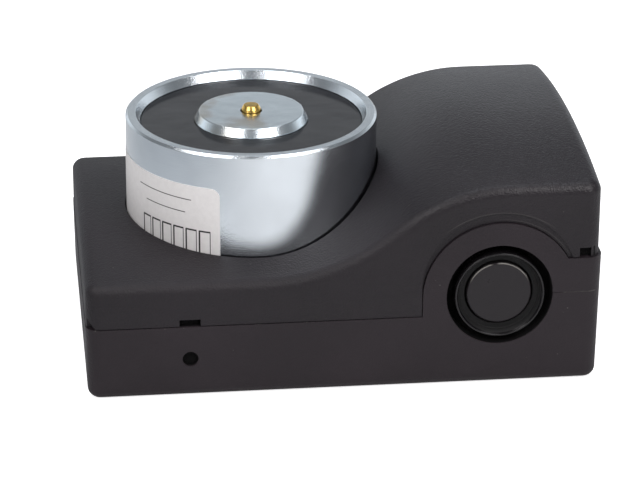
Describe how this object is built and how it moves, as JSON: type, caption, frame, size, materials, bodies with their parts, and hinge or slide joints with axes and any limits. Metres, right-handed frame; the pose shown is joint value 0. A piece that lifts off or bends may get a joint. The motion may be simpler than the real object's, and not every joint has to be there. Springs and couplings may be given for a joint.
{
  "type": "holding electromagnet",
  "caption": "Wall-mounted door holding magnet: a round steel pot magnet with a sprung ejector pin in a black swooping housing, with a round release push button in the side.",
  "frame": {"origin": "middle of the flat back, where the housing meets the wall", "axes": "+Z is the way the magnet faces, +X runs from the magnet to the switch bay, -Y is the side that the button is on"},
  "size_m": [0.1104, 0.0764, 0.0518],
  "materials": {
    "housing_plastic": "fine-grained black moulding, slightly warm",
    "cover_plastic": "fine-grained black moulding with a satin top",
    "zinc_steel": "turned steel under bright blue-white zinc",
    "pole_steel": "faced steel under bright zinc, faintly stained",
    "resin_black": "cast resin, satin and level",
    "bobbin_nylon": "natural moulded nylon",
    "winding_copper": "enamelled copper wire, layer wound",
    "spring_steel": "bright spring wire",
    "screw_steel": "zinc plated",
    "label_paper": "white paper, printed with plain rules",
    "switch_plastic": "black moulding with a slight sheen",
    "button_plastic": "black moulding with a slight sheen",
    "contact_brass": "stamped brass strip",
    "board_green": "green solder resist",
    "terminal_plastic": "green moulding",
    "lead_red": "soft insulation",
    "lead_black": "soft insulation",
    "pin_brass": "turned brass, polished at the tip",
    "grommet_rubber": "soft black rubber"
  },
  "bodies": {
    "housing": {"base_box": "housing_plastic", "cover": "cover_plastic", "magnet_pot": "zinc_steel", "centre_pole": "pole_steel", "potting_resin": "resin_black", "coil_bobbin": "bobbin_nylon", "coil_winding": "winding_copper", "ejector_spring": "spring_steel", "pin_plug": "zinc_steel", "magnet_plate": "zinc_steel", "pot_screws": "screw_steel", "plate_screws": "screw_steel", "pot_label": "label_paper", "switch_body": "switch_plastic", "switch_end": "switch_plastic", "switch_washer": "zinc_steel", "switch_nut": "zinc_steel", "switch_contacts": "contact_brass", "button_spring": "spring_steel", "circuit_board": "board_green", "board_screws": "screw_steel", "terminal_block": "terminal_plastic", "terminal_clamps": "screw_steel", "terminal_screws": "screw_steel", "surge_diode": "switch_plastic", "coil_leads": "lead_red", "switch_leads": "lead_black", "cable_grommet": "grommet_rubber"},
    "ejector": {"ejector_pin": "pin_brass"},
    "button": {"button_cap": "button_plastic", "contact_bridge": "contact_brass"}
  },
  "joints": [
    {"name": "ejector_slide", "type": "slide", "parent": "housing", "child": "ejector", "axis": [0, 0, -1], "range_m": [0, 0.0014], "stiffness_N_per_m": 2000, "springref_m": -0.003, "deforming": ["ejector_spring"]},
    {"name": "button_slide", "type": "slide", "parent": "housing", "child": "button", "axis": [0, 1, 0], "range_m": [0, 0.0025], "stiffness_N_per_m": 800, "springref_m": -0.002, "deforming": ["button_spring"]}
  ]
}
